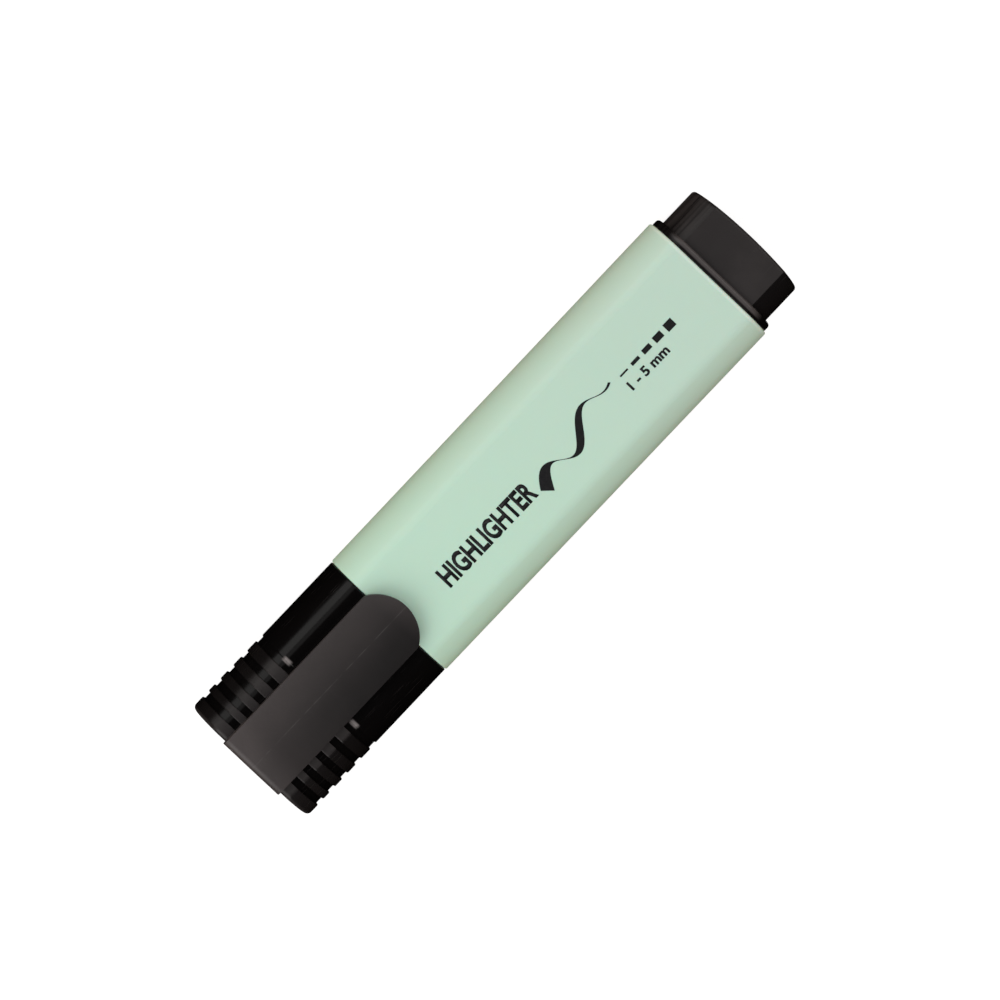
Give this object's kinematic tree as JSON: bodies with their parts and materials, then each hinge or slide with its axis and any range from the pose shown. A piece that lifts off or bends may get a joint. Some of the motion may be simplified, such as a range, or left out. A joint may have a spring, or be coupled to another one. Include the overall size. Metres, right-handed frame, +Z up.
{
  "type": "highlighter",
  "caption": "Flat capped highlighter: tapering pastel barrel, ribbed snap cap with pocket clip, chisel nib, fibre reservoir and a block end plug.",
  "frame": {"origin": "on the resting surface, under the middle of the pen's bounding box", "axes": "+X along the pen from the end plug to the closed end of the cap, +Y across the wide faces, +Z up out of the face with the pocket clip"},
  "size_m": [0.124, 0.0272, 0.0188],
  "materials": {
    "barrel_plastic": "semi-gloss moulded polypropylene, pastel green",
    "gloss_black": "gloss black moulded polypropylene",
    "satin_black": "fine-textured satin black moulded polypropylene",
    "natural_liner": "natural polyethylene",
    "nib_fibre": "pressed polyester fibre, soaked with pastel green ink",
    "core_fibre": "soft bundled polyester fibre, soaked with pastel green ink",
    "clear_film": "thin clear polypropylene film"
  },
  "bodies": {
    "barrel": {"barrel": "barrel_plastic", "end_plug": "satin_black", "nose_section": "satin_black", "nib": "nib_fibre", "reservoir_core": "core_fibre", "reservoir_film": "clear_film"},
    "cap": {"cap_shell": "gloss_black", "cap_liner": "natural_liner"},
    "clip": {"pocket_clip": "satin_black"}
  },
  "joints": [
    {"name": "cap_pull", "type": "slide", "parent": "barrel", "child": "cap", "axis": [1, 0, 0], "range_m": [0, 0.045]},
    {"name": "clip_flex", "type": "hinge", "parent": "cap", "child": "clip", "pos_m": [0.062, 0, 0.016], "axis": [0, 1, 0], "range_deg": [0, 4], "stiffness_Nm_per_rad": 1}
  ]
}
